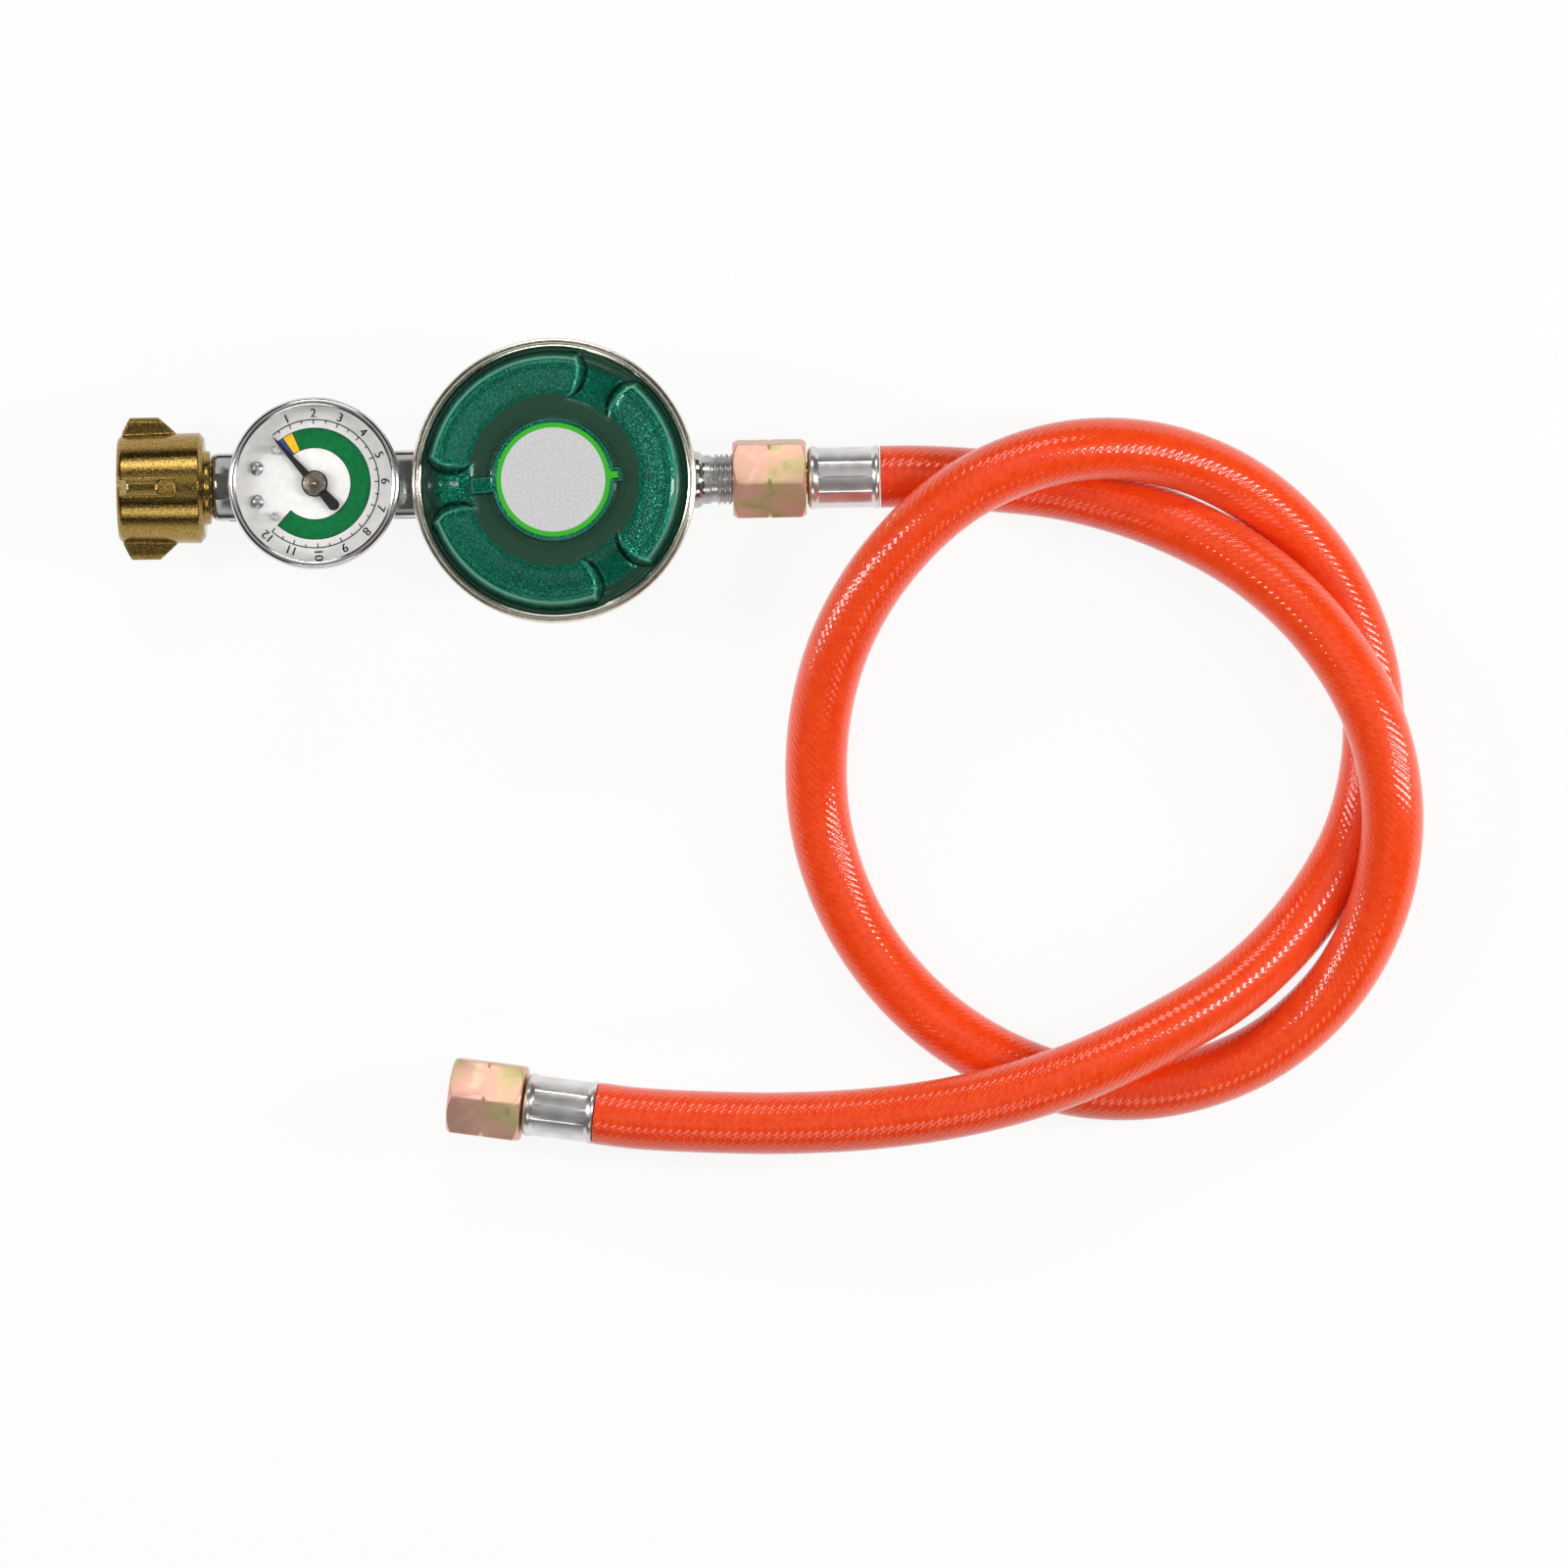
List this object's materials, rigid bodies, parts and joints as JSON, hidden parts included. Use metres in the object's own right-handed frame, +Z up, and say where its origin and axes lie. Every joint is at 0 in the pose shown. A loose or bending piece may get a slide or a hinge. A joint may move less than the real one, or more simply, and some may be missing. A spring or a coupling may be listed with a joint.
{
  "type": "propane regulator hose",
  "caption": "Low-pressure propane regulator with a brass wing nut inlet, a round pressure gauge and a looped rubber hose that ends in a hexagon union nut.",
  "frame": {"origin": "middle of the housing's round foot, on the surface it stands on", "axes": "+X along the gas flow from the wing nut to the outlet, +Y across, +Z up out of the cover and the dial"},
  "size_m": [0.334, 0.2106, 0.0483],
  "materials": {
    "zinc_casting": "satin die-cast",
    "green_flake_paint": "metallic flake",
    "nickel_steel": "nickel plated",
    "foil_label": "bare foil",
    "forged_brass": "as forged",
    "turned_brass": "turned",
    "gauge_chrome": "polished",
    "clear_window": "clear",
    "dial_enamel": "white enamel",
    "black_enamel": "satin black",
    "yellow_zinc": "yellow passivated zinc",
    "plated_steel": "bright zinc plated",
    "spring_steel": "drawn wire",
    "black_rubber": "matt",
    "hose_rubber": "glossy orange"
  },
  "bodies": {
    "root": {"regulator_body": "zinc_casting", "cover": "green_flake_paint", "crimp_ring": "nickel_steel", "label_plate": "foil_label", "spring_adjuster": "turned_brass", "main_spring": "spring_steel", "diaphragm": "black_rubber", "lever_pin": "plated_steel", "valve_nozzle": "turned_brass", "inlet_nipple": "turned_brass", "inlet_seal": "black_rubber", "inlet_filter": "turned_brass", "gauge_case": "gauge_chrome", "gauge_bezel": "gauge_chrome", "gauge_window": "clear_window", "gauge_dial": "dial_enamel", "dial_rivet_1": "plated_steel", "dial_rivet_2": "plated_steel", "stop_pin_1": "clear_window", "stop_pin_2": "clear_window", "bourdon_tube": "turned_brass", "gauge_socket": "turned_brass", "movement_lower_plate": "turned_brass", "movement_upper_plate": "turned_brass", "outlet_ferrule": "plated_steel", "outlet_hose_tail": "turned_brass", "outlet_hose_nut": "yellow_zinc", "gas_hose": "hose_rubber", "free_ferrule": "plated_steel", "free_hose_tail": "turned_brass"},
    "inlet_nut": {"inlet_wing_nut": "forged_brass"},
    "free_nut": {"free_hose_nut": "yellow_zinc"},
    "pointer": {"gauge_pointer": "black_enamel", "pointer_cap": "plated_steel", "pinion_arbor": "turned_brass"},
    "sector": {"sector_gear": "turned_brass"},
    "link": {"movement_link": "turned_brass"},
    "diaphragm_group": {"diaphragm_plate": "plated_steel", "diaphragm_stem": "turned_brass", "relief_spring": "spring_steel", "relief_nut": "turned_brass"},
    "lever": {"valve_lever": "plated_steel"},
    "valve": {"valve_piston": "turned_brass", "valve_pad": "black_rubber"},
    "excess_flow_valve": {"excess_flow_poppet": "turned_brass", "excess_flow_spring": "spring_steel"}
  },
  "joints": [
    {"name": "inlet_nut_spin", "type": "hinge", "parent": "root", "child": "inlet_nut", "pos_m": [-0.1, 0, 0.0186], "axis": [1, 0, 0], "continuous": true},
    {"name": "free_nut_spin", "type": "hinge", "parent": "root", "child": "free_nut", "pos_m": [-0.02011, -0.15896, 0.01167], "axis": [-0.9864, 0.1382, -0.0887], "continuous": true},
    {"name": "pointer_sweep", "type": "hinge", "parent": "root", "child": "pointer", "pos_m": [-0.061, 0, 0.0427], "axis": [0, 0, -1], "range_deg": [0, 262], "stiffness_Nm_per_rad": 0.0001},
    {"name": "sector_swing", "type": "hinge", "parent": "root", "child": "sector", "pos_m": [-0.061, -0.012, 0.0367], "axis": [0, 0, 1], "range_deg": [0, 37.5]},
    {"name": "link_swing", "type": "hinge", "parent": "sector", "child": "link", "pos_m": [-0.055, -0.012, 0.0379], "axis": [0, 0, 1], "range_deg": [-59, 0]},
    {"name": "diaphragm_lift", "type": "slide", "parent": "root", "child": "diaphragm_group", "axis": [0, 0, 1], "range_m": [0, 0.002], "stiffness_N_per_m": 500, "springref_m": -0.004, "deforming": ["main_spring", "diaphragm"]},
    {"name": "lever_tilt", "type": "hinge", "parent": "root", "child": "lever", "pos_m": [-0.0165, 0, 0.0115], "axis": [0, -1, 0], "range_deg": [0, 7]},
    {"name": "valve_slide", "type": "slide", "parent": "root", "child": "valve", "axis": [-1, 0, 0], "range_m": [0, 0.0009]},
    {"name": "excess_flow_slide", "type": "slide", "parent": "root", "child": "excess_flow_valve", "axis": [1, 0, 0], "range_m": [0, 0.0015], "stiffness_N_per_m": 10, "springref_m": -0.002}
  ],
  "couplings": [
    {"joint": "sector_swing", "follows": "pointer_sweep", "ratio": 0.14286},
    {"joint": "link_swing", "follows": "pointer_sweep", "ratio": -0.2237},
    {"joint": "lever_tilt", "follows": "diaphragm_lift", "rad_per_m": 60.606},
    {"joint": "valve_slide", "follows": "diaphragm_lift", "ratio": 0.4303}
  ]
}
